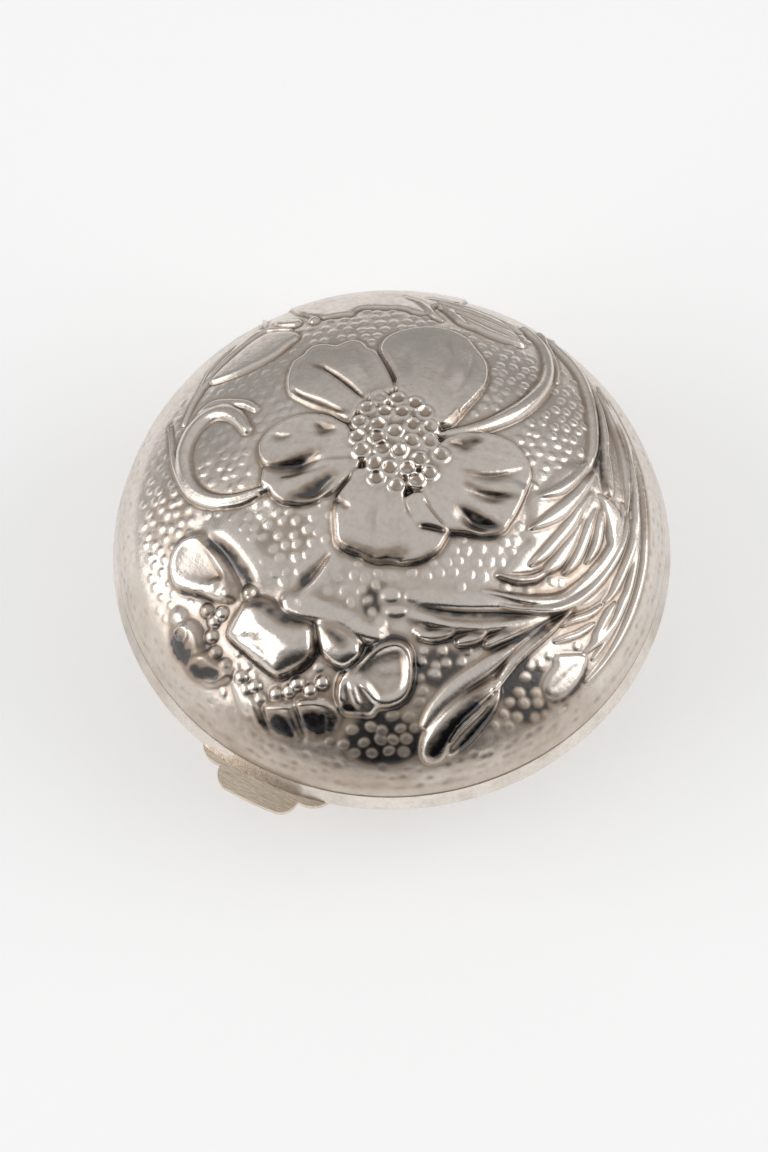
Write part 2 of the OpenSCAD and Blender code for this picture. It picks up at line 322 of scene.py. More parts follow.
def fold(points, drop, width=0.8, reach=2.5):
    """A crease: to the right of the line the surface falls by drop within width and comes back up
    over reach. It dies out at both ends."""
    line = curve(points)
    distance, along, right_side, place = near(line, reach)
    fade = ease(along, 0, 0.5) * ease(1 - along, 0, 0.5)
    wide = width * (0.4 + 0.6 * fade)
    profile = ease(distance / wide, 0, 1) * (1 - ease((distance - wide) / (reach - wide), 0, 1))
    relief[place] -= np.where(right_side, drop * fade * profile, 0)


def bank(points, height, left, right, keep_clear=0.8):
    """A soft wave: its crest follows the line, and its flanks are as wide as left and right say."""
    line = curve(points)
    distance, along, right_side, place = near(line, max(left, right))
    fade = ease(along, -0.02, 0.25) * ease(1.02 - along, 0, 0.25)
    relief[place] += height * fade * (1 - ease(distance / np.where(right_side, right, left), 0, 1))
    cover(place, distance - keep_clear)


def patina_and_shade_stroke(points, amount, width):
    """A stroke of black patina that mostly paints shade."""
    distance, along, _, place = near(curve(points), 2.5 * width)
    fade = ease(along, -0.1, 0.15) * ease(1.1 - along, 0, 0.25)
    patina_and_painted_shade[place] = np.maximum(patina_and_painted_shade[place], amount * fade * np.exp(-(distance / width) ** 2))


def bead(x, y, r, height, base=0.0):
    place = window(np.array([[x, y]]), r + 0.3)
    t = np.hypot(U[place] - x, V[place] - y) / r
    new = base + height * np.clip(1 - t ** 2, 0, 1) ** 0.8
    relief[place] = np.where(t < 1, np.maximum(relief[place], new), relief[place])
    cover(place, (t - 1) * r)


def scallop(x, y, half_x, half_y, height):
    """A low oval pad with a flat top."""
    place = window(np.array([[x, y]]), max(half_x, half_y) + 0.1)
    t = np.hypot((U[place] - x) / half_x, (V[place] - y) / half_y)
    relief[place] = np.maximum(relief[place], GROUND + height * ease(1 - t, 0, 0.5))
    cover(place, (t - 1) * min(half_x, half_y))


def ring(x, y, r=0.66, line=0.12, height=0.24):
    """The mark of a ring punch: a thin raised line round a shallow cup."""
    place = window(np.array([[x, y]]), r + 0.6)
    d = np.hypot(U[place] - x, V[place] - y)
    relief[place] += height * np.exp(-((d - r) / line) ** 2)
    relief[place] -= 0.05 * np.exp(-(d / (0.7 * r)) ** 4)


def cloud(x, y, size_x, size_y):
    """A smooth random field of -1 to 1 whose swells measure about size_x by size_y."""
    table = rng.uniform(-1, 1, (97, 89))
    gx, gy = x / size_x + 500, y / size_y + 500
    i, j = np.floor(gx).astype(int), np.floor(gy).astype(int)
    fx, fy = ease(gx - i, 0, 1), ease(gy - j, 0, 1)
    low = table[i % 97, j % 89] * (1 - fx) + table[(i + 1) % 97, j % 89] * fx
    high = table[i % 97, (j + 1) % 89] * (1 - fx) + table[(i + 1) % 97, (j + 1) % 89] * fx
    return low * (1 - fy) + high * fy


def soften(field, times):
    """A small blur, repeated."""
    for _ in range(times):
        for side in (0, 1):
            field = (np.roll(field, 1, side) + 2 * field + np.roll(field, -1, side)) / 4
    return field


# ======== the ornament

relief += GROUND

# --- left scroll and the leaf over it
ridge([(-12, 9), (-13, 10), (-14.2, 10.5), (-16, 11.1), (-17, 10.9), (-17.9, 10.1), (-18.9, 8.7),
       (-19.8, 7.4)], (0.3, 0.5, 0.5, 0.2), 0.18)
ridge([(-12.8, 6.8), (-13.8, 8.6), (-15.3, 9.8), (-17, 9.8), (-18.6, 8.5), (-19.4, 6.5), (-19.3, 4.3),
       (-18.6, 2.4), (-17.4, 0.9), (-15.8, 0), (-14, -0.3), (-12.2, -0.1), (-11, 0.1)],
      (0.5, 0.85, 0.9, 0.8, 0.7, 0.55, 0.3), 0.42)
ridge([(-21.2, 10.5), (-20.9, 8.5), (-20.6, 6.5), (-20.3, 5), (-19.5, 2.9), (-18.5, 1.2), (-17, 0),
       (-15.5, -0.6), (-13.5, -0.8), (-11.8, -0.4)], (0.15, 0.25, 0.35, 0.3, 0.2), 0.25)
leaf([(-17, 14.6), (-16.2, 15.8), (-14.8, 17.2), (-13.3, 18.7), (-12, 19.6), (-11, 19.9), (-9.8, 19.5),
      (-8.6, 18.9), (-8.1, 18.2), (-8.3, 17.5), (-9.2, 16.7), (-10.5, 15.5), (-12, 14.8), (-14, 14.3),
      (-16, 14.2)], 0.05, 0.18, 0.7)
ridge([(-17.6, 14.2), (-16.5, 16), (-14, 18.8), (-12, 20.4), (-10.5, 20.2), (-9, 19.6)],
      (0.2, 0.45, 0.5, 0.4, 0.2), 0.30)
ridge([(-19.6, 10), (-18.8, 12.2), (-18, 13.8), (-17.5, 15.3), (-16.8, 16.8), (-15.5, 18.3), (-13.8, 19.6),
       (-12.3, 20.8), (-12, 22.5), (-12.4, 24.5), (-13, 26)], (0.15, 0.3, 0.35, 0.3, 0.15), 0.25)
leaf([(-10.9, 21.8), (-10, 22), (-9, 21.7), (-8, 21.1), (-8.3, 20.2), (-10, 20.8)], 0.05, 0.15, 0.4)
bead(-6.7, 20.6, 0.6, 0.3)

# --- top leaf and blades
leaf([(-7.6, 22), (-7, 21.5), (-6.2, 21), (-5.5, 20.7), (-4, 20.8), (-3, 20.8), (-2.8, 21.3), (-2, 21.9),
      (0.3, 21.7), (1.5, 21.6), (2.3, 21.3), (3, 20.7), (4.2, 20.5), (4.5, 21.5), (5.5, 22.8), (8, 24),
      (8, 31), (-10, 31), (-9, 24)], -0.02, 0.14, 0.5, chase=0.1)
for line in ([(2.2, 24), (3.5, 22.8), (4.3, 21.5), (4.8, 20.3), (5.6, 19.5)],
             [(5.5, 22.6), (6.7, 20.9), (7.2, 20), (7.8, 19.2), (8.7, 18.6)],
             [(5.5, 22.2), (8, 20.8), (10, 19.8), (12, 18.7), (13.5, 17.2)],
             [(6, 23), (9, 21.5), (11.5, 20), (13, 18)],
             [(4.5, 23.8), (8, 22.5), (11, 21), (13.6, 19.4)]):
    ridge(line, (0.15, 0.4, 0.45, 0.15), 0.28)
leaf([(7.2, 20.8), (9, 19.5), (11, 18.3), (12.8, 17.7), (13.5, 17), (13, 16.9), (11, 17.3), (9.5, 18),
      (8, 19.2)], 0.05, 0.22, 0.5)

# --- stems that sweep round the right side
ridge([(17.5, 1.3), (18.6, 3), (19.3, 5), (19.6, 7), (19.7, 9), (19.7, 11), (19.5, 13), (19.1, 14.8),
       (18.3, 16.5), (17.3, 18), (16.3, 19.3), (15.5, 20.5)], (0.25, 0.5, 0.6, 0.55, 0.5, 0.25), 0.38)
ridge([(16.3, 12.5), (16.6, 14.5), (16.35, 17), (15.6, 20.5)], (0.12, 0.25, 0.25, 0.12), 0.22)
for line, wide, tall in (
        ([(20.3, 13.5), (20.5, 12), (20.9, 9), (20.9, 6), (20.5, 3), (20.3, 0.5)], 0.32, 0.3),
        ([(20.9, 13), (21.8, 10), (22.6, 7), (22.9, 4), (22.9, 1), (22.7, -1)], 0.4, 0.34),
        ([(21.1, 14.2), (22.1, 10.5), (23.1, 7.5), (23.6, 4), (23.8, 1), (23.7, -3), (23.2, -6.5),
          (22.2, -10), (20.8, -13), (19, -15.6)], 0.38, 0.34),
        ([(21.3, 13.2), (22.5, 10.5), (23.5, 7.5), (24.4, 4.5), (24.8, 2), (24.9, 0), (24.8, -3),
          (24.5, -6), (23.9, -8.5), (23, -11), (21.8, -13.5), (20.3, -15.8), (18.5, -17.9)], 0.4, 0.3)):
    ridge(line, (0.1, wide, wide, wide, 0.12), tall)
leaf([(20.8, 6), (20.3, 3.5), (20.3, 1), (21, 0.2), (21.3, 1.5), (21.2, 4)], 0.05, 0.2, 0.4)
groove([(20.8, 5), (20.7, 3), (20.8, 1)], (0.1, 0.2, 0.1), 0.12)
bead(20.5, -0.8, 0.9, 0.4)

# --- feathered leaf pointing to the lower left: lens-shaped blades on a low swelling
leaf([(20.2, -0.5), (19.6, 2.5), (18.2, 3), (16.2, 2.3), (14.5, 0.2), (12.8, -1.4), (12.6, -3.5),
      (11.9, -5), (12.4, -5.6), (11.3, -6.7), (10.4, -8), (9.6, -8.9), (11, -8.9), (12.2, -8.5),
      (14.3, -7.7), (16.2, -6.6), (18, -5), (20, -3)], 0.05, 0.1, 0.9, chase=0, hard=0.5)
for blade in (
        [(13.2, -1.3), (15.2, -0.9), (16.7, 0.2), (17.9, 1.7), (18.6, 3.6), (16.8, 1.6), (15, 0)],
        [(12.3, -4.5), (14, -4), (15.8, -2.9), (17.3, -1.4), (18.4, 0.2), (19.4, 2.8), (18, 1.5),
         (16.8, 0), (15.4, -1.5), (13.8, -3)],
        [(12.2, -7.8), (13.8, -7.1), (15.4, -5.6), (16.7, -4), (17.6, -2.3), (18.8, 0.4), (17.1, -1.4),
         (15.7, -3.4), (14, -5.5)],
        [(13.4, -8.4), (15.2, -7.8), (16.4, -6.3), (17.2, -4.6), (17.7, -2.6), (16.4, -4.3), (15, -6)],
        [(15.6, -8.2), (17.1, -7.2), (18.1, -5.4), (18.7, -3.4), (19.1, -1.2), (17.9, -3.1), (16.8, -5.6)],
        [(17.9, -6.9), (19.3, -5.4), (19.9, -3.4), (19.9, -0.8), (19, -2.8), (18.6, -4.6)],
        [(19.4, 0.1), (20.5, -0.2), (21.8, -1.2), (21.6, -3.2), (20.7, -5), (20.2, -3), (19.8, -1.4)]):
    leaf(blade, 0.12, 0.32, 0.7, tilt=(-0.06, 0), chase=0.06, hard=0.2)
ridge([(9.4, -8.9), (11, -9.2), (12.6, -9), (13.6, -8.4), (14.4, -7.7)], (0.2, 0.4, 0.4, 0.15), 0.35, 0.02)

# --- strands below it
for line, wide, tall in (
        ([(22.3, 0), (22, -2), (21.3, -4), (20, -6.2), (18.5, -8), (17, -9.4), (15.3, -10.5),
          (13.5, -10.9), (11.5, -10.9), (9.5, -10.6), (8, -10.4)], 0.5, 0.35),
        ([(22.8, -1), (22.3, -3.2), (21.5, -5), (20.3, -7), (19, -8.6), (17.5, -9.9), (16, -10.9),
          (14.5, -11.5), (12.5, -11.8), (10.5, -11.8), (9.5, -11.6)], 0.45, 0.5),
        ([(23.4, -1.5), (23.2, -4), (22, -7), (20.8, -9.3), (20, -10.2)], 0.4, 0.35),
        ([(21.2, -10), (20, -12), (18.7, -14.7)], 0.4, 0.3),
        ([(22.5, -8.5), (21.3, -11.5), (19.8, -13.5), (18, -15.2)], 0.4, 0.35),
        ([(19.8, -10.5), (18.3, -11.6), (16.6, -12.3), (15.6, -12.9)], 0.3, 0.25),
        ([(19, -12.3), (17.4, -13.4), (16, -14), (14.9, -14.4)], 0.3, 0.25)):
    ridge(line, (0.12, wide, wide, wide, 0.12), tall)

# --- lower leaf that runs to the flower: an upper blade, a valley, and a scalloped lower blade
bank([(0.4, -11), (3, -11.4), (6, -11.7), (9.5, -11.6), (13, -11.7), (16, -11.3), (18.5, -10.2),
      (20.5, -8)], 0.55, 1.8, 0.7, 1.2)
bank([(0.8, -12.3), (2.8, -13), (5, -13.5), (8, -13.6), (11, -13.1), (13.5, -12.3), (15.8, -11.6)],
     0.6, 0.8, 0.7)
for line in ([(2.3, -14.3), (3.4, -14.4), (4.6, -14.2), (5.6, -13.8)],
             [(5.8, -14.9), (6.6, -14.7), (7.5, -14.4), (8.4, -13.9)],
             [(8.4, -15), (9.4, -14.5), (10.6, -13.9), (12.2, -13.2), (14.2, -12.3)]):
    ridge(line, (0.4, 0.6, 0.55, 0.15), 0.5, 0.05)
for x, y, half_x, half_y in ((-0.2, -10.8, 1.0, 0.7), (1.9, -10.9, 1.2, 0.65), (0.2, -12.2, 1.2, 0.55),
                             (2.3, -13.9, 0.9, 0.6), (-1.3, -13.2, 0.8, 0.7)):
    scallop(x, y, half_x, half_y, 0.22)

# --- bud stem and the teardrop
ridge([(14.4, -12.8), (12, -14.4), (10, -15.8), (8, -17.2), (6.2, -18.4), (4.6, -19.7), (3.3, -21),
       (2.6, -22.2)], (0.15, 0.5, 0.75, 0.8, 0.5), 0.34)
leaf([(9.4, -18), (8, -18.6), (6, -19.6), (4.3, -20.8), (2.9, -22.3), (2.2, -23.6), (2.1, -25),
      (2.9, -25.9), (4.2, -25.6), (5.2, -24.2), (6.3, -22.4), (8, -20.4), (9.3, -19)], 0.25, 0.6, 1.5,
     tilt=(-0.04, 0.1), chase=0.05, hard=0.3)
leaf([(9.6, -18.6), (9.6, -20), (8.7, -21.8), (7.3, -23.6), (5.9, -24.8), (4.8, -25.2), (4.8, -24.3),
      (5.9, -22.6), (7.5, -20.8), (9, -19.2)], 0.2, 0.45, 1.1, tilt=(-0.04, 0.1), chase=0.05, hard=0.3)
ridge([(4.9, -23.7), (5.7, -22.6), (6.9, -21.4), (8.4, -20.1)], (0.12, 0.25, 0.2, 0.1), 0.3, 0.62)
ridge([(16.4, -11.5), (15, -12.8), (13.4, -14.2), (12, -15.4), (10.8, -16.6), (9.9, -17.8), (9.2, -18.8)],
      (0.2, 0.42, 0.5, 0.55, 0.4), 0.55, 0.05, 0.15)
leaf([(15, -15.7), (16.5, -15.4), (18, -15.3), (18.4, -15.9), (17.9, -17.4), (16.9, -18.8), (15.6, -19.7),
      (14.5, -19.6), (13.9, -18.8), (14.2, -17.6), (14.9, -16.6)], 0.05, 0.16, 0.9, hard=0.35)
groove([(14.6, -18.9), (15.8, -17.6), (17.2, -16.2)], (0.1, 0.2, 0.1), 0.06)

# --- big flower: petals from the lowest to the topmost. It lies like a tilted plate, almost level
# with the ground at its far side and high at its near side.
plate = 0.02 + 0.42 * ease(-V, -17, 5)
PETALS = (
    ([(-1.9, 7.9), (-3.2, 5.9), (-5, 7.1), (-6.5, 7.9), (-8, 9.1), (-8.8, 10), (-9.05, 11.5), (-8.9, 13),
      (-8.5, 14.2), (-7.6, 14.9), (-7.2, 15.6), (-6.4, 16.1), (-5.4, 16), (-4.5, 15.6), (-3.8, 15.9),
      (-2.9, 16.2), (-2, 15.7), (-1.5, 14.8), (-0.6, 13.9), (0.7, 10), (0.8, 9)], 0.0, 0.13, 0.5),
    ([(4.8, 3.5), (6, 4.2), (7.5, 4.5), (8.9, 4.5), (10.2, 4.3), (11.3, 3.7), (12.1, 2.8), (12.6, 1.7),
      (12.7, 0.5), (12.3, -0.6), (12, -1.3), (11.3, -2.8), (10.6, -4), (10, -4.9), (9, -5.4), (7.5, -5.5),
      (6, -5.4), (4.9, -5.3), (4.2, -4.3), (3.3, -3), (2.6, -1.7), (3, 1)], 0.0, 0.14, 0.5),
    ([(-2.6, 0.9), (-3.8, -0.2), (-4.8, -1.1), (-5.8, -1.6), (-7.3, -2), (-8.5, -1.9), (-9.5, -1.6),
      (-10.3, -0.9), (-10.8, 0), (-11.4, 0.6), (-11.3, 1.5), (-10.9, 2.3), (-8, 2.6), (-5, 2.9),
      (-2.5, 3)], -0.1, 0.16, 0.6),
    ([(-3.3, 5), (-4, 5.7), (-5.3, 6.7), (-6.8, 7.1), (-8.2, 7.1), (-9.5, 6.7), (-10.8, 5.8), (-11.5, 4.8),
      (-11.6, 3.8), (-11.2, 2.6), (-10.6, 2.2), (-8.5, 2.1), (-5, 2.1), (-2.5, 2.2)], 0.02, 0.16, 0.6),
    ([(-2.6, 0.8), (-3.6, -0.4), (-4.7, -1.9), (-4.9, -3), (-4.9, -4.5), (-4.8, -5.8), (-4, -6.6),
      (-3, -7.1), (-2, -7.7), (-0.5, -7.9), (1, -8.1), (2.5, -7.9), (4, -7), (4.8, -5.8), (4.9, -5.3),
      (2.6, -4.6), (1.6, -3.6), (1.3, -2.2), (1, 0)], 0.02, 0.18, 0.6),
    ([(1.3, -2.2), (1.5, -3.5), (2.2, -4.7), (3.4, -5), (4.9, -5.3), (4.2, -4.3), (3.3, -3), (2.6, -1.7)],
     0.1, 0.12, 0.4),
    ([(0.9, 9), (0.85, 10.5), (0.4, 12), (-0.3, 13.8), (-0.35, 15), (0.3, 16.2), (1.5, 17.1), (3, 17.7),
      (4.5, 17.85), (6, 17.6), (7.3, 16.9), (8, 16.2), (8.5, 15), (9.2, 13.5), (9.4, 12), (9.1, 10.3),
      (8.3, 8.8), (7, 7), (5.3, 5), (2, 6)], 0.16, 0.16, 0.5))
for points, level, rise, edge in PETALS:
    leaf(points, plate + level, rise, edge, dish=0.04, chase=0.05, hard=0.2)

for line, drop, wide, reach in (
        ([(-11.4, 2.5), (-9.6, 2.4), (-8, 2.9), (-6.5, 3.1), (-5.2, 3)], 0.7, 1.0, 2.4),
        ([(-9.6, -1.2), (-7.8, -0.2), (-6.2, 0.4), (-4.4, 0.9)], 0.7, 1.3, 2.4),
        ([(5, 3.2), (6.5, 3.7), (8.4, 3.8)], 0.38, 0.6, 1.8),
        ([(5.6, 0.3), (8.5, 0.4), (10.5, 0.8), (12.4, 1.5)], 0.32, 0.4, 1.4),
        ([(5.9, -0.9), (8, -1.2), (9.8, -1.3), (11.8, -1.2)], 0.45, 0.6, 1.6),
        ([(5.4, -2.4), (7, -3.1), (8.6, -3.9), (10.3, -4.7)], 0.8, 1.0, 2.0),
        ([(-6.8, 6.3), (-5.5, 5.8), (-4, 4.9)], 0.42, 0.6, 1.8),
        ([(-10.9, 5.7), (-9.6, 5.4), (-8, 5)], 0.2, 0.4, 1.2),
        ([(8.1, 14.4), (8, 12.5), (7.3, 10.3), (6.1, 8.2)], -0.22, 0.7, 2.2),
        ([(6.4, 17.2), (6.6, 14.8), (6.4, 12.2)], 0.12, 0.6, 2),
        ([(2.8, 15.5), (2.8, 12.5), (2.6, 9.8)], 0.10, 0.8, 2.4),
        ([(-2.6, 15), (-1.9, 12.4), (-1.2, 10)], -0.12, 0.7, 2),
        ([(-0.7, -1.7), (-0.8, -4), (-1, -6.6)], 0.14, 0.6, 2)):
    fold(line, drop, wide, reach)
for line, wide, deep in (
        ([(-5.9, 12.9), (-4.4, 11.3), (-3, 9.6), (-1.8, 7.9)], 0.26, 0.34),
        ([(-8.6, 10.5), (-7.6, 9.4), (-5.9, 8.2), (-3.7, 6.6)], 0.3, 0.3),
        ([(6.4, 6.6), (6, 5.8), (5.1, 4.9)], 0.3, 0.3),
        ([(-4.9, -1.9), (-4.3, -2.5), (-3.5, -3)], 0.4, 0.3),
        ([(-9.8, 0.9), (-7.5, 1.0), (-5, 1.3)], 0.3, 0.08),
        ([(-4, -6.6), (-2.6, -7.3), (-0.4, -7.9), (1.4, -7.7)], 0.3, 0.2),
        ([(2.4, -4.9), (3.4, -5), (4.6, -5.3)], 0.25, 0.3)):
    groove(line, (0.12, wide, wide, 0.12), deep)
bank([(11.8, -0.2), (11.2, -2.2), (10.3, -4.2)], 0.28, 0.75, 2.0)
ridge([(-3.6, -1.9), (-2.9, -1.0), (-2.2, -0.2)], (0.2, 0.4, 0.2), 0.14, 0.45, 0)
bead(-1.1, -7.3, 0.65, 0.25, 0.4)

# --- stem from the flower's centre, over the right petal
ridge([(4.5, 4), (6.5, 4.6), (8.5, 5.3), (10.5, 6.5), (12.3, 8), (13.8, 9.8), (15, 11.8), (15.6, 13.8),
       (15.7, 15.8), (15.4, 17.8), (14.7, 19.3), (13.8, 20.5)], (0.3, 0.6, 0.8, 0.75, 0.6, 0.5, 0.25), 0.55)

# --- the flower's button, marked all over with a ring punch
BUTTON_X, BUTTON_Y, BUTTON_R = 0.7, 3.4, 3.4
RINGS = ((0.6, 4.1), (-0.8, 4.9), (2.2, 4.8), (-0.2, 6.3), (1.3, 6.2), (-0.9, 3.6), (2.05, 3.1),
         (-0.5, 2.4), (0.9, 2.1), (3.7, 4.6), (3.3, 6.2), (2.5, 7.2), (1, 7.8), (-0.6, 8), (-1.7, 6.9),
         (-2.4, 5.4), (-2.6, 3.8), (-2.3, 2.4), (-1.2, 1), (0.1, 0.5), (1.6, 0.4), (2.6, 1.3), (3.6, 3.1),
         (4.5, 1.8), (3.45, 0), (2.3, -0.7), (0.6, -1.2), (-1.1, -0.4))
from_button = np.hypot(U - BUTTON_X, V - BUTTON_Y)
button = from_button - BUTTON_R
for x, y in RINGS:
    button = np.minimum(button, np.hypot(U - x, V - y) - 0.75)
inner = 1 - ease(button, -0.1, 0.35)
swell = 0.12 * ease(4.6 - from_button, 0, 3)
relief[:] = relief * (1 - inner) + (plate + 0.12 + swell) * inner
for x, y in RINGS:
    ring(x, y)

# --- flower in profile: the outer petals, each highest at the edge that rolls over the stamens
for points, level, tilt in (
        ([(-21.4, -10.2), (-21, -9.4), (-20.2, -9.4), (-19.6, -10.1), (-19.9, -10.7), (-20.9, -10.8)],
         0.35, (0.05, 0)),
        ([(-21.4, -11.4), (-20.7, -10.9), (-19.4, -10.8), (-18.6, -11.4), (-18.2, -12.6), (-18.5, -13.8),
          (-19.4, -14.5), (-20.5, -14.8), (-21.1, -13.4)], 0.4, (0.12, 0.2)),
        ([(-20.2, -15), (-19, -14.2), (-17.7, -14), (-16.9, -14.9), (-15.6, -15.8), (-15.5, -16.6),
          (-17, -17), (-18.8, -16.6)], 0.4, (0.05, 0.25)),
        ([(-15.5, -16.9), (-14.6, -17.6), (-14, -18.6), (-13.9, -19.8), (-14.4, -20.2), (-15.2, -19.1)],
         0.3, (0.2, 0)),
        ([(-13.9, -18.6), (-13, -19.2), (-12.7, -20.4), (-12.5, -21.8), (-13.1, -21.8), (-13.8, -20.5)],
         0.4, (0, 0.2)),
        ([(-12.5, -19.5), (-11, -19.3), (-9.8, -19.6), (-9.5, -21.2), (-9.2, -23.1), (-10.8, -22.8),
          (-12.2, -21.8)], 0.34, (0, 0.24)),
        ([(-9.4, -19.5), (-7.8, -19.2), (-6.3, -19.6), (-5.4, -20.6), (-5.7, -22), (-7, -23),
          (-8.6, -22.8)], 0.34, (0, 0.24))):
    leaf(points, level, 0.0, 0.6, tilt=tilt, chase=0.03, hard=0.4)
bank([(-12.8, -19.6), (-11.4, -19.7), (-9.6, -19.7), (-7.8, -19.6), (-6, -19.9)], 0.22, 0.6, 0.5)
bank([(-20.6, -14.8), (-19, -14.1), (-17.8, -14.2)], 0.25, 0.5, 0.4)
bank([(-18.8, -16.5), (-17.2, -16.8), (-15.6, -16.1)], 0.2, 0.4, 0.5)
for line in ([(-10.9, -20.2), (-10.3, -21.4), (-10, -22.8)],
             [(-9.5, -19.8), (-9.3, -21.4), (-9, -23.1)],
             [(-13, -19.2), (-12.7, -20.5), (-12.4, -21.8)],
             [(-6.9, -20.3), (-6.9, -21.4), (-7.2, -22.6)]):
    groove(line, (0.15, 0.25, 0.25), 0.16)

# the calyx: two strongly swollen lobes under a smooth sepal
leaf([(-7, -12.9), (-6, -12.7), (-5.1, -13), (-3.9, -13.9), (-3, -14.8), (-3, -15.8), (-3.9, -16.6),
      (-4.8, -16.9), (-5.7, -16.5), (-6.4, -15.8), (-6.9, -15)], 0.35, 0.8, 1.7,
     tilt=(0.08, 0), chase=0.1, hard=0.25)
leaf([(-9.8, -10), (-8, -10.2), (-6, -10.9), (-4, -11.9), (-2.3, -13), (-0.8, -14.2), (-1.5, -14.9),
      (-3.3, -14.4), (-5, -13.2), (-7, -12.7), (-8.6, -12.3), (-10, -11.4)], 0.5, 0.15, 0.8,
     tilt=(-0.03, -0.08), chase=0, hard=0.55)
leaf([(-13.2, -9.9), (-12, -9.9), (-10.8, -10.5), (-9.8, -11.6), (-8.6, -12.4), (-7.4, -12.9),
      (-7.1, -14), (-7.3, -15.3), (-8, -16.2), (-9.3, -16.8), (-10.9, -17.2), (-12.2, -16.2),
      (-13.8, -14.7), (-15.5, -12.9), (-15, -11.8), (-14, -10.6)], 0.35, 1.15, 2.6,
     tilt=(0.06, 0.02), chase=0.1, hard=0.25)
fold([(-10.9, -16.8), (-11.2, -15.9), (-11.9, -14.8), (-13.2, -13.8), (-15, -13.1)], 0.25, 0.4, 2.0)
bank([(-13.6, -9.5), (-14.4, -10.7), (-15.5, -12.2)], 0.25, 0.3, 0.3)

# the cup-shaped petal with its gathers and rolled edge
leaf([(-4.6, -17), (-3.4, -16.4), (-2.3, -15.4), (-1.2, -14.8), (0, -14.6), (1, -15), (1.5, -15.8),
      (1.6, -17.2), (1.4, -18.8), (0.7, -19.9), (-0.5, -20.5), (-1.8, -20.6), (-2.4, -21.2),
      (-3.6, -21.1), (-4.9, -20.9), (-5.6, -19.8), (-5.3, -18)], 0.5, 0.25, 0.7,
     tilt=(0.02, 0.08), hard=0.3)
leaf([(-3.6, -17.4), (-2.4, -16.2), (-1.2, -15.4), (0.2, -15.2), (0.9, -15.9), (1, -17.2), (0.7, -18.6),
      (-0.3, -19.5), (-1.6, -19.6), (-2.6, -18.8)], 0.6, -0.36, 2.2,
     tilt=(-0.05, -0.02), chase=0, hard=0.6)
for line in ([(-4.9, -17.6), (-5.1, -18.8), (-5, -20)], [(-4.1, -17.8), (-3.8, -19), (-3.4, -20.4)],
             [(-3.2, -17.9), (-2.4, -18.9), (-1.6, -20)]):
    bank(line, 0.38, 0.42, 0.5)
for line in ([(-1.8, -18), (-0.4, -17.8), (0.8, -17.6)], [(-1.8, -16.8), (-0.6, -16.6), (0.6, -16.2)]):
    groove(line, (0.12, 0.2, 0.12), 0.05)

# the spoon-shaped petal: its hollow falls from the high left rim to the valley beside the broad stem
leaf([(-20.4, -7.3), (-20.8, -6.2), (-20.7, -4.8), (-20, -3.6), (-18.8, -2.9), (-17.5, -3), (-16.5, -3.9),
      (-15.6, -5.2), (-14.8, -6.8), (-14.1, -8.6), (-14.2, -9.8), (-15.4, -9.7), (-16.8, -9.2),
      (-18, -8.6), (-19.2, -8.1)], 0.35, 0.25, 0.6, tilt=(-0.06, 0.03), chase=0, hard=0.4)
leaf([(-20, -6.4), (-20, -4.9), (-19, -3.7), (-17.7, -3.8), (-16.7, -4.9), (-16, -6.2), (-15.5, -7.4),
      (-16.4, -7.9), (-17.8, -7.4), (-19.2, -6.9)], 0.5, -0.18, 1.3,
     tilt=(-0.2, 0.03), chase=0, hard=0.35)
bank([(-17.6, -2.4), (-15.7, -3.2), (-14.1, -4.6), (-12.8, -6.4), (-11.9, -8.1), (-11.1, -9.7)],
     0.6, 3.2, 1.3)
groove([(-17.2, -3.6), (-15.7, -5), (-14.4, -7.2), (-13.4, -9.2)], (0.3, 0.45, 0.5, 0.4), 0.25)
groove([(-20.2, -7.9), (-18.8, -8.4), (-17.6, -9), (-16.6, -9.8)], (0.2, 0.3, 0.3, 0.2), 0.25)
for x, y, r in ((-17.3, -8, 0.6), (-16.3, -8.2, 0.7), (-15.1, -9, 0.65), (-13, -9.3, 0.6),
                (-18.3, -8.1, 0.4)):
    bead(x, y, r, 0.3, 0.35)
bank([(-9, -10.2), (-7.2, -9.4), (-6, -8.2), (-5, -6.8)], 0.42, 0.6, 1.8)
groove([(-8.7, -9.8), (-7.6, -8.8), (-6.5, -7.6), (-5.4, -6.6)], (0.2, 0.4, 0.35, 0.15), 0.25)

# what is pressed this boldly has soft edges
pressed = np.maximum(ease(-U + 0.35 * V, -5.5, -3.5) * ease(-V, 1.6, 3), ease(-V, 8.4, 9.4))
pressed = np.maximum(pressed, ease(U, 12.8, 13.6)) * (1 - 0.6 * ease(U, -1, 1))
relief += (soften(relief, 9) - relief) * pressed

STAMENS = ((-17.4, -10.2), (-16.8, -11.3), (-17.2, -12.6), (-17.0, -14.1), (-16.1, -15.4), (-14.6, -16.7),
           (-13.3, -17.7), (-12.9, -18.9), (-11.3, -18.6), (-10, -18.5), (-8, -18.6), (-6.8, -18),
           (-15.9, -10.7), (-14.2, -17.9), (-9.2, -17.9))
for x, y in STAMENS:
    bead(x, y, 0.66, 0.3, 0.05)
ring(-20.1, -11.8, 0.7, 0.2, 0.12)
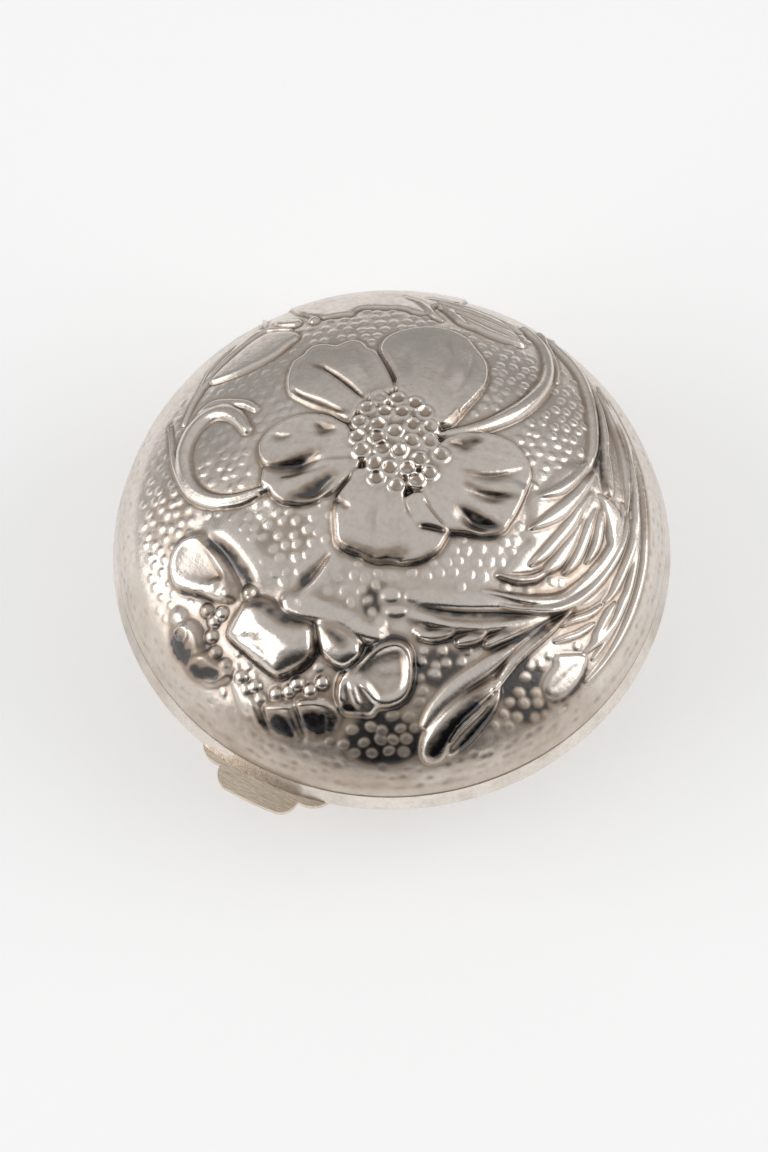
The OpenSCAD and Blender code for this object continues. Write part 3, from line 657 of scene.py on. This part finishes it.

# strokes of painted shade laid as black patina, where light would lift the forms too little
for points, amount, width in (
        # blossom: outer petals, calyx, cup petal, spoon and stem
        ([(-20.9, -11.9), (-20.6, -13.4), (-19.4, -14)], 0.5, 0.8),
        ([(-19.6, -15.2), (-17.9, -15.8), (-16.6, -16.3)], 0.5, 0.6),
        ([(-13.1, -20.2), (-12.8, -21.6)], 0.28, 0.4),
        ([(-12, -20.8), (-10.9, -21.5), (-9.8, -21.8)], 0.5, 0.9),
        ([(-8.7, -20.9), (-7.4, -21.7), (-6.1, -21.2)], 0.5, 1.0),
        ([(-13, -10.3), (-11.2, -10.9), (-9.9, -12), (-8.2, -12.8)], 0.24, 0.4),
        ([(-10.6, -17), (-8.8, -16.6), (-7.4, -15.5)], 0.28, 0.35),
        ([(-15.4, -13), (-13.3, -15.3), (-11.2, -17.1)], 0.3, 0.25),
        ([(-17, -3.8), (-15.2, -5), (-13.6, -7), (-12.7, -8.8)], 0.28, 0.6),
        ([(-6, -13.3), (-4.9, -14.3), (-4.2, -14.7)], 0.25, 0.4),
        ([(-5.6, -16.9), (-4.3, -17), (-2.8, -16), (-1.4, -14.8), (0.4, -14.5), (1.2, -15)], 0.28, 0.28),
        ([(1.6, -15.6), (1.8, -17.2), (1.3, -19.4), (0, -20.5), (-1.6, -20.3)], 0.28, 0.3),
        ([(-5.4, -20.6), (-4.4, -20.3), (-2.8, -21.2)], 0.28, 0.4),
        ([(-8.3, -9.2), (-6.9, -7.9)], 0.25, 0.35),
        ([(-20, -7.8), (-18.4, -8.4), (-17, -9.5)], 0.25, 0.3),
        # open flower: the creases and front edges of its petals
        ([(-10.9, 2.1), (-9.3, 1.9), (-7.6, 2.4), (-6.1, 2.8)], 0.2, 0.4),
        ([(-8.9, -1.5), (-7.5, -1.1), (-6.2, -0.4), (-4.8, 0.4)], 0.2, 0.5),
        ([(-10.4, -1), (-9.2, -1.7), (-7.9, -2.1), (-6.2, -1.9)], 0.18, 0.22),
        ([(5.4, 3), (6.8, 3.4), (8.2, 3.6)], 0.2, 0.25),
        ([(6.4, 0.4), (8.5, 0.1), (10.5, 0.4)], 0.17, 0.15),
        ([(6.6, -0.9), (8.6, -1.5), (11.2, -1.8)], 0.2, 0.22),
        ([(5.9, -3.1), (7.6, -3.9), (9.6, -4.9)], 0.21, 0.45),
        ([(4.9, -5.3), (6.8, -5.5), (9.6, -5.6)], 0.24, 0.3),
        ([(-4.7, -6.3), (-3.5, -6.9), (-2.4, -7.4)], 0.2, 0.3),
        ([(-4.6, -6.1), (-2.6, -7), (-1, -7.4), (1, -7.1)], 0.19, 0.5),
        ([(1.6, -8.1), (2.6, -7.8), (3.6, -7.2)], 0.22, 0.25),
        ([(2.4, -4.8), (3.5, -5.1), (4.8, -5.5)], 0.22, 0.25),
        ([(-4.6, -1.9), (-4.4, -2.5)], 0.25, 0.35),
        ([(-6.9, 13.3), (-5.3, 12), (-3.8, 10.4), (-2.4, 8.6)], 0.18, 0.16),
        ([(-8.4, 9.9), (-6.9, 8.6), (-5.1, 7.4), (-3.4, 6.6)], 0.18, 0.2),
        ([(-6.2, 5.6), (-5, 5.3)], 0.2, 0.25),
        ([(5.6, 5.6), (6.3, 6.6)], 0.22, 0.25),
        # brown only: round the spoon's lower end and the stamens
        ([(-15.6, -7), (-14.4, -9), (-15.4, -10)], 0.09, 0.5),
        ([(-16.8, -9.8), (-17.8, -11.6), (-17.6, -13.6), (-15.6, -16.2)], 0.07, 0.8),
        # teardrop bud, its stem, and the small leaf
        ([(7.6, -19.5), (5.4, -21.8), (3.8, -24), (3.2, -25.2)], 0.4, 0.6),
        ([(9, -20.4), (7.2, -22.9), (5.7, -24.7)], 0.4, 0.55),
        ([(16.5, -11.6), (14.6, -13), (12.4, -15.2), (10.4, -17.4)], 0.24, 0.2),
        ([(12.4, -16), (10.7, -18.2), (9.5, -20)], 0.26, 0.25),
        ([(18.5, -16.2), (17.9, -17.9), (16.4, -19.4), (14.8, -20)], 0.28, 0.35),
        # lower leaf
        ([(2.4, -12), (5, -12.4), (8.5, -12.5), (11.5, -12.2)], 0.18, 0.22),
        ([(1.2, -12.9), (3.2, -13.8), (5.2, -14), (8, -14.1), (11, -13.7), (13.6, -12.7)], 0.2, 0.2),
        ([(3.2, -14.9), (5.4, -14.7)], 0.28, 0.25),
        ([(5.8, -15.6), (8, -15)], 0.28, 0.28),
        ([(8.6, -15.6), (11, -14.7), (14, -13.1)], 0.28, 0.25),
        # feathered leaf and the strands round it
        ([(9.2, -9.2), (11, -9.6), (13, -9.3), (14.4, -8.3)], 0.24, 0.22),
        ([(18.2, 1.4), (19.4, 3.4), (20, 6), (20.2, 9), (19.9, 12)], 0.2, 0.25),
        ([(20.2, 5.5), (20.1, 3), (20.6, 0.6)], 0.22, 0.2),
        ([(22.2, 9), (23, 5), (23.1, 1.5), (22.8, -1.6)], 0.2, 0.2),
        ([(22.2, 12.6), (23.8, 8), (24.7, 4), (25, 0), (24.8, -3)], 0.2, 0.25)):
    patina_and_shade_stroke(points, amount, width)
patina_and_painted_shade *= 1.0 + 0.65 * cloud(U, V, 0.45, 0.2)

# ======== stippled ground

pips = np.zeros_like(U)
PIP_ROOM = 0.36           # a pip's middle keeps this far from the ornament
PIPS_END_X = 19.9         # the strands at the right leave no room beyond this


def stipple(pitch, row_gap, half_long, stretches, tallness, most_turn, wanted):
    """Pips in staggered rows wherever wanted(x, y) says so and the ground is bare."""
    for row, y in enumerate(np.arange(-28, 26, row_gap)):
        for x in np.arange(-26, 26, pitch):
            px = x + (row % 2) * pitch / 2 + rng.uniform(-0.22, 0.22) * pitch
            py = y + rng.uniform(-0.2, 0.2) * row_gap
            size = rng.uniform(*half_long)
            stretch = rng.uniform(*stretches)
            turn = rng.uniform(-most_turn, most_turn)
            tall = rng.uniform(0.8, 1.15) * tallness
            out = math.hypot(px, py)
            i, j = int(round((py + HALF) / STEP)), int(round((px + HALF) / STEP))
            if bare[i, j] < PIP_ROOM or out > PLAIN_S or px > PIPS_END_X or not wanted(px, py):
                continue
            tall *= 1 - 0.55 * ease(-px, 2, 10) * ease(py, -1, 6)
            tall *= 1 - 0.8 * ease(out, 23.5, PLAIN_S)
            place = window(np.array([[px, py]]), size + 0.1)
            du, dv = U[place] - px, V[place] - py
            along_pip = (du * math.cos(turn) + dv * math.sin(turn)) / size
            across_pip = (-du * math.sin(turn) + dv * math.cos(turn)) / (size * stretch)
            pips[place] = np.maximum(pips[place], tall * ease(1 - np.hypot(along_pip, across_pip), 0, 0.5))


def in_front(x, y):
    return y < -17.5 and x > -6


stipple(1.28, 1.12, (0.5, 0.6), (0.75, 0.98), 0.085, math.pi / 2,
        lambda x, y: not in_front(x, y) and (x > 0 or math.hypot(x, y) < 24.4))
stipple(1.5, 1.12, (0.62, 0.72), (0.68, 0.82), 0.075, 0.5, in_front)
relief += pips
between = 1 - ease(pips, 0.0, 0.015)
# painted shade: the ground between the pips is blackened in these zones, most of them at the front where it
# faces the viewer
for x, y, half_x, half_y, amount in (
        (-1.4, -23.5, 4.4, 3.0, 0.26), (12.6, -19.3, 3.0, 3.4, 0.26), (-1.2, -11.4, 1.9, 2.0, 0.26),
        (4.2, -17.2, 2.6, 2.2, 0.24), (-9.5, -4.6, 3.0, 2.4, 0.12), (-20.8, -0.5, 3.0, 4.0, 0.10)):
    zone = np.hypot((U - x) / half_x, (V - y) / half_y)
    patina_and_painted_shade += amount * between * ease(bare, 0.1, 0.5) * (1 - ease(zone, 0.7, 1.0)) * (zone < 1)

# --- the small unevenness of hand work: dents, radial brush marks on the petals, turning marks
# and the rim zone, which later takes stains and painted shade
DENT_LANES = (26.3, 27.4, 28.5)   # how far from the apex the rim's rows of dents run
DENT_GAP, DENTS_S = 1.15, 27.2    # the dents' spacing, measured at this distance from the apex
DENTS_LEFT_OUT = 0.35             # the share of dents that is missing
DENTS_END_Y = 12                  # the lid's far side has none
out = np.hypot(U, V)
around = np.arctan2(V, U)
for turn in np.arange(0, 2 * math.pi, DENT_GAP / DENTS_S):
    for lane in DENT_LANES:
        at = lane + rng.uniform(-0.3, 0.3)
        angle = turn + rng.uniform(-0.017, 0.017)
        x, y = at * math.cos(angle), at * math.sin(angle)
        i, j = int(round((y + HALF) / STEP)), int(round((x + HALF) / STEP))
        if rng.random() < DENTS_LEFT_OUT or y > DENTS_END_Y or bare[i, j] < 0.5:
            continue
        place = window(np.array([[x, y]]), 1.2)
        off = np.hypot((out[place] - at) / 0.8, (around[place] - math.atan2(y, x)) * 27 / 1.1)
        relief[place] -= rng.uniform(0.03, 0.09) * np.exp(-(off / 0.36) ** 2)
relief += 0.022 * cloud(U, V, 2.6, 2.6) + 0.010 * cloud(U, V, 0.9, 0.9) + 0.004 * cloud(U, V, 0.3, 0.3)
petal_turn = np.arctan2(V - BUTTON_Y, U - BUTTON_X) * 8
on_flower = ease(12 - from_button, 0, 3) * ease(relief - 0.1, 0, 0.15)
relief += on_flower * (0.014 * cloud(petal_turn, from_button, 0.35, 4) + 0.006 * cloud(U, V, 0.8, 0.16))
relief *= 1 - ease(out, 28.2, 29.6)       # plain where the lid meets its band
near_rim = ease(out, 25.0, 28.0)
relief += 0.012 * near_rim * cloud(around * 28, out, 5, 0.5) + 0.012 * near_rim * cloud(U, V, 1.0, 1.0)
relief -= 0.10 * np.exp(-((out - EDGE_S + 0.12) / 0.15) ** 2)     # the groove at the edge
relief = soften(relief, 2)

# what the material reads: the hollows carry their patina and the strokes' painted shade, polish the tops,
# stain the dull zones and the painted shade toward the viewer
hollows_and_painted_shade = np.clip(soften(relief, 40) - relief, -0.3, 0.3)
hollows_and_painted_shade = np.clip(np.maximum(hollows_and_painted_shade, 0) + soften(patina_and_painted_shade, 4), hollows_and_painted_shade, 0.3)
polish = ease(soften(relief, 6), 0.3, 0.8)
# stains round the rim, with painted shade: heavier toward the viewer, lighter at the sides
front = ease(-V / np.maximum(out, 1), 0.2, 0.95)
beside = ease(np.abs(U) / np.maximum(out, 1), 0.55, 0.95)
stain_and_painted_shade = near_rim * (0.62 + 0.38 * front) * (1 - 0.6 * beside)
stain_and_painted_shade *= 0.75 + 0.25 * cloud(around * 28, out, 7, 0.7)
# painted shade: the band inside the rim in front of the blossom, the front ground and its pips are dimmed
stain_and_painted_shade = np.maximum(stain_and_painted_shade, 0.6 * ease(out, 20.5, 24) * ease(-V, 2, 10) * ease(-U, 2, 6))
stain_and_painted_shade = np.maximum(stain_and_painted_shade, 0.85 * ease(-V, 16, 20) * (1 - ease(relief, 0, 0.25)))
stain_and_painted_shade = np.maximum(stain_and_painted_shade, 0.9 * ease(pips, 0.02, 0.06) * ease(-V, 17, 19))
stain_and_painted_shade = np.clip(stain_and_painted_shade + 0.12 * cloud(U, V, 3, 3) + 0.12 * cloud(U, V, 0.8, 0.8), 0, 1)


def sample(field, u, v):
    """A field of samples read at any point, between its samples."""
    x = np.clip((u + HALF) / STEP, 0, len(axis) - 1.001)
    y = np.clip((v + HALF) / STEP, 0, len(axis) - 1.001)
    j, i = x.astype(int), y.astype(int)
    fx, fy = x - j, y - i
    low = field[i, j] * (1 - fx) + field[i, j + 1] * fx
    high = field[i + 1, j] * (1 - fx) + field[i + 1, j + 1] * fx
    return low * (1 - fy) + high * fy


def disc(count):
    """Points of a square net bent into a disc of radius 1, with no pinched middle."""
    a = np.linspace(-1, 1, count + 1)
    x, y = np.meshgrid(a, a)
    wide = np.abs(x) >= np.abs(y)
    r = np.where(wide, x, y)
    with np.errstate(divide="ignore", invalid="ignore"):
        turn = np.where(wide, math.pi / 4 * y / x, math.pi / 2 - math.pi / 4 * x / y)
    turn = np.where(r == 0, 0, turn)
    return r * np.cos(turn), r * np.sin(turn)


def skin(u, v, rise):
    """The points at unrolled places (u, v), lifted by rise off the lid's plain outer face."""
    s = np.hypot(u, v)
    crown = s < CROWN_S
    angle = np.where(crown, s / CROWN_R, CROWN_ANGLE + (s - CROWN_S) / SHOULDER_R)
    arm = np.where(crown, CROWN_R, SHOULDER_R) + rise
    radius = np.where(crown, 0, SHOULDER_C) + arm * np.sin(angle)
    z = np.where(crown, CROWN_Z, SHOULDER_Z) + arm * np.cos(angle)
    turn = np.arctan2(v, u) + VIEW_TURN
    return np.stack([radius * np.cos(turn), radius * np.sin(turn), z], -1).reshape(-1, 3) * MM


NET = 640                 # squares across the net of the outer face; the inner one has half as many
BACK_SHARE = 0.8          # the sheet's back follows the relief this much
u, v = disc(NET)
u, v = u * EDGE_S, v * EDGE_S
outer_points = skin(u, v, sample(relief, u, v))
u_in, v_in = disc(NET // 2)
u_in, v_in = u_in * EDGE_S, v_in * EDGE_S
inner_points = skin(u_in, v_in, BACK_SHARE * sample(soften(relief, 18), u_in, v_in) - SHEET)


def net_faces(count, start, flip):
    """The corner numbers of the net's squares, for points numbered from start."""
    i = np.arange(count)
    a = start + (i[:, None] * (count + 1) + i[None, :]).ravel()
    corners = [a, a + 1, a + count + 2, a + count + 1]
    return np.stack(corners[::-1] if flip else corners, -1)


def net_rim(count, start):
    """Numbers of the net's outermost points, in order round it."""
    n = count + 1
    i = np.arange(count)
    return start + np.concatenate([i, i * n + count, count * n + count - i, (count - i) * n])


rim_out, rim_in = net_rim(NET, 0), net_rim(NET // 2, len(outer_points))
faces = net_faces(NET, 0, False).tolist() + net_faces(NET // 2, len(outer_points), True).tolist()
for k, inner_corner in enumerate(rim_in):
    following = rim_in[(k + 1) % len(rim_in)]
    a, b, c = rim_out[2 * k], rim_out[2 * k + 1], rim_out[(2 * k + 2) % len(rim_out)]
    faces.append([int(corner) for corner in (inner_corner, following, c, b, a)])
mesh = bpy.data.meshes.new("lid_relief")
mesh.from_pydata(np.vstack([outer_points, inner_points]).tolist(), [], faces)
for name, field, inside_lid in (("hollows_and_painted_shade", hollows_and_painted_shade, 0.05), ("stain_and_painted_shade", stain_and_painted_shade, 0.25), ("polish", polish, 0)):
    values = np.concatenate([sample(field, u, v).ravel(), np.full(len(inner_points), inside_lid)])
    mesh.attributes.new(name, "FLOAT", "POINT").data.foreach_set("value", values.astype(np.float32))
mesh.shade_smooth()
lid = bpy.data.objects.new("lid_relief", mesh)
bpy.context.scene.collection.objects.link(lid)
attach(lid, "lid")
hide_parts("lid_shell")

# ======== silver

# the black of the patina and of the painted shade
BLACK_OF_PATINA_AND_SHADE = (0.085, 0.087, 0.092, 1)


def silver(name, tone=(0.91, 0.85, 0.79, 1), dulled_and_shaded_tone=(0.60, 0.515, 0.435, 1),
           tarnish_and_shade_brown=(0.34, 0.25, 0.18, 1), rough=0.18, recessed=False, grain=0.35, brushed=0.0):
    """Worn silver: fine scratches and dents in its bump, clouds of dulling, and brown patina that
    turns almost black, with painted shade mixed into the patina and dulling on the lid. On the recessed lid
    the fields of the mesh place these, elsewhere noise does."""
    made = bpy.data.materials.new(name)
    made.use_nodes = True
    t = made.node_tree
    t.nodes.clear()
    shader = node(t, "ShaderNodeBsdfPrincipled")
    feed(1, shader.inputs["Metallic"])
    feed(shader.outputs[0], node(t, "ShaderNodeOutputMaterial").inputs[0])
    place = node(t, "ShaderNodeTexCoord")

    def noise(scale, detail, stretch=(1, 1, 1)):
        mapping = node(t, "ShaderNodeMapping")
        feed(place.outputs["Object"], mapping.inputs[0])
        feed(stretch, mapping.inputs["Scale"])
        made_noise = node(t, "ShaderNodeTexNoise")
        feed(mapping.outputs[0], made_noise.inputs["Vector"])
        feed(scale, made_noise.inputs["Scale"])
        feed(detail, made_noise.inputs["Detail"])
        return made_noise.outputs[0]

    def field(attribute):
        return node(t, "ShaderNodeAttribute", attribute_name=attribute).outputs["Fac"]

    clouds = noise(260, 6)
    if recessed:
        # on the lid the brown and black follow the hollows' patina and the painted shade strokes; the
        # dulling follows stains and painted shade toward the viewer
        hollows_and_shade_here = field("hollows_and_painted_shade")
        patchy = ranged(noise(140, 3), 0.35, 0.65, 0.7, 1.0)
        dirt_and_painted_shade = times(ranged(hollows_and_shade_here, -0.03, 0.07, 0, 0.85), patchy)
        dark = ranged(hollows_and_shade_here, 0.10, 0.26, 0, 0.9)
        dim = times(field("stain_and_painted_shade"), ranged(clouds, 0.3, 0.7, 0.7, 1.0))
        smooth = ranged(field("polish"), 0, 1, 1.0, 0.6)
    else:
        dirt_and_painted_shade = ranged(clouds, 0.50, 0.80, 0, 0.4)
        dark = ranged(noise(90, 5), 0.60, 0.85, 0, 0.4)
        dim = ranged(noise(120, 3), 0.35, 0.65, 0.1, 0.45)
        smooth = ranged(clouds, 0.2, 0.8, 0.95, 1.05)
    scratches = noise(900, 2, (1, 14, 3))
    speckle = noise(2200, 6)
    coats = [(dim, dulled_and_shaded_tone), (ranged(speckle, 0.44, 0.68, 0, 0.28), dulled_and_shaded_tone)]
    if brushed:
        coats.append((ranged(scratches, 0.42, 0.62, 0, min(0.4 * brushed, 0.7)), dulled_and_shaded_tone))
    colour = tone
    for share, coat in (*coats, (dirt_and_painted_shade, tarnish_and_shade_brown), (dark, BLACK_OF_PATINA_AND_SHADE)):
        colour = mixed_colour(t, share, colour, coat)
    feed(colour, shader.inputs["Base Color"])

    dull = times(ranged(clouds, 0.3, 0.7, rough * 0.8, rough * 1.35), smooth)
    wear = plus(times(dirt_and_painted_shade, 0.2), times(dim, 0.24))
    wear = plus(wear, times(dark, -0.2))
    wear = plus(wear, ranged(speckle, 0.35, 0.65, -0.03, 0.04))
    feed(plus(dull, wear), shader.inputs["Roughness"])

    rise = plus(times(noise(2600, 4), 0.8), noise(420, 2))
    rise = plus(rise, times(scratches, 0.3 + brushed))
    bump = node(t, "ShaderNodeBump")
    feed(rise, bump.inputs["Height"])
    feed(grain, bump.inputs["Strength"])
    feed(0.06 * MM, bump.inputs["Distance"])
    feed(bump.outputs[0], shader.inputs["Normal"])
    return made


lid.data.materials.append(silver("chased_silver", recessed=True))
plain = silver("plain_silver", rough=0.25)
rim = silver("rim_silver", rough=0.2, brushed=0.4)
worn = silver("worn_silver", rough=0.28, grain=0.4)
hinge = silver("hinge_silver", tone=(0.80, 0.76, 0.70, 1), rough=0.3)
thumb = silver("thumb_silver", tone=(0.94, 0.84, 0.71, 1), dulled_and_shaded_tone=(0.55, 0.43, 0.32, 1), rough=0.15,
               brushed=1.3, grain=0.6)

# the pieces that are not named here belong to the hinge
FINISH = {"lid_band": rim, "base_rim": rim, "base_collar": plain, "base_shell": worn, "thumb_piece": thumb}
for name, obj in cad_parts.items():
    obj.data.materials.clear()
    obj.data.materials.append(FINISH.get(name, hinge))
for name, width in (("thumb_piece", 0.22), ("lid_band", 0.06), ("base_rim", 0.10)):
    worn_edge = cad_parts[name].modifiers.new("worn_edge", "BEVEL")
    worn_edge.width = width * MM
    worn_edge.segments = 3
    worn_edge.limit_method = "ANGLE"
    worn_edge.angle_limit = math.radians(40)

# ======== floor

bpy.ops.mesh.primitive_plane_add(size=6)
floor = bpy.context.object
floor.name = "floor"
pale = bpy.data.materials.new("floor")
pale.use_nodes = True
t = pale.node_tree
paint = t.nodes["Principled BSDF"]
feed(0.9, paint.inputs["Roughness"])
spot = node(t, "ShaderNodeTexCoord")
reach = node(t, "ShaderNodeVectorMath", operation="LENGTH")
feed(spot.outputs["Object"], reach.inputs[0])
# painted light: the floor's colour and glow are brightest round the box and fade with distance, a painted
# pool of light
PALE_TO, DIM_FROM = 0.07, 0.25        # metres from the box
PALE_GREY, DIM_GREY = 0.80, 0.40
FLOOR_GLOW = 0.35                     # seen by the camera and in mirrors and glass; it lights nothing
painted_light_pool = ranged(reach.outputs["Value"], PALE_TO, DIM_FROM, PALE_GREY, DIM_GREY,
                 interpolation_type="SMOOTHSTEP")
feed(painted_light_pool, paint.inputs["Base Color"])
seen = node(t, "ShaderNodeLightPath").outputs
straight_or_mirrored = plus(seen["Is Camera Ray"], seen["Is Glossy Ray"])
seen_at_all = plus(straight_or_mirrored, seen["Is Transmission Ray"], use_clamp=True)
glow = times(times(seen_at_all, FLOOR_GLOW), painted_light_pool)
feed((1, 1, 1, 1), paint.inputs["Emission Color"])
feed(glow, paint.inputs["Emission Strength"])
floor.data.materials.append(pale)

bpy.context.view_layer.update()
